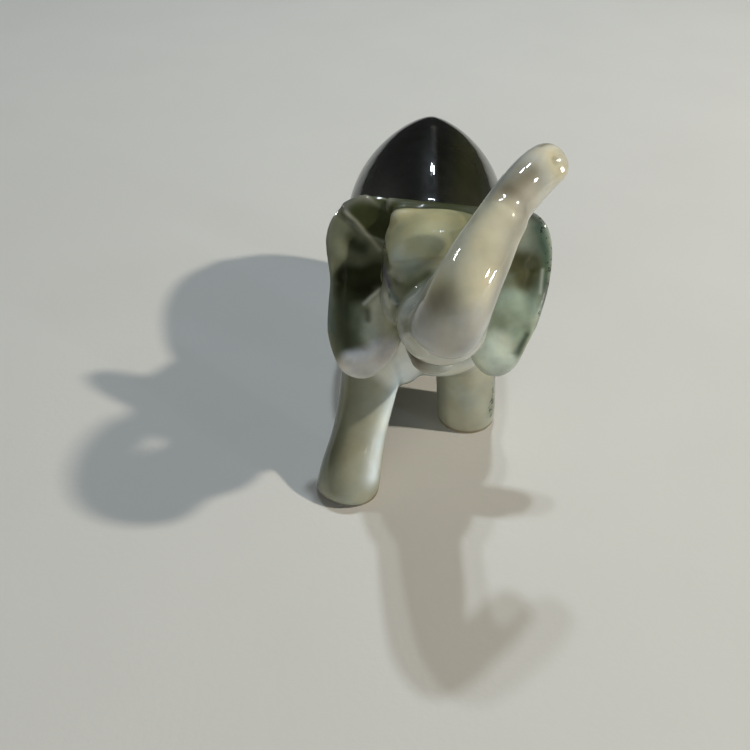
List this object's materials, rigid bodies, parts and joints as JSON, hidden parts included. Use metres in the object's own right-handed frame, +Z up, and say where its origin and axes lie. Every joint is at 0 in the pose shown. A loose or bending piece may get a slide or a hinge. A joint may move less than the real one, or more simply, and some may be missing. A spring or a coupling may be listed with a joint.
{
  "type": "porcelain elephant figurine",
  "caption": "Walking elephant figurine in glazed porcelain, trunk raised and curled back, ears spread, hollow body on flat soles.",
  "frame": {"origin": "on the ground, under the middle of the elephant's overall box", "axes": "the elephant faces -Y, its left side is +X, +Z is up"},
  "size_m": [0.052, 0.1088, 0.081],
  "materials": {
    "body_glaze": "clear gloss glaze over airbrushed olive black underglaze colour",
    "head_glaze": "clear gloss glaze over olive colour fading to cream on the forehead",
    "trunk_glaze": "clear gloss glaze over cream white porcelain, lightly shaded",
    "ear_glaze": "clear gloss glaze over grey green colour, dark in the hollow and pale on the lobe",
    "leg_glaze": "clear gloss glaze over grey white porcelain, bare brown rim at the sole"
  },
  "bodies": {
    "root": {"torso": "body_glaze", "head": "head_glaze", "trunk": "trunk_glaze", "lower_jaw": "trunk_glaze", "ear_left": "ear_glaze", "ear_right": "ear_glaze", "tail": "body_glaze", "leg_front_right": "leg_glaze", "leg_front_left": "leg_glaze", "leg_rear_right": "leg_glaze", "leg_rear_left": "leg_glaze"}
  },
  "joints": []
}
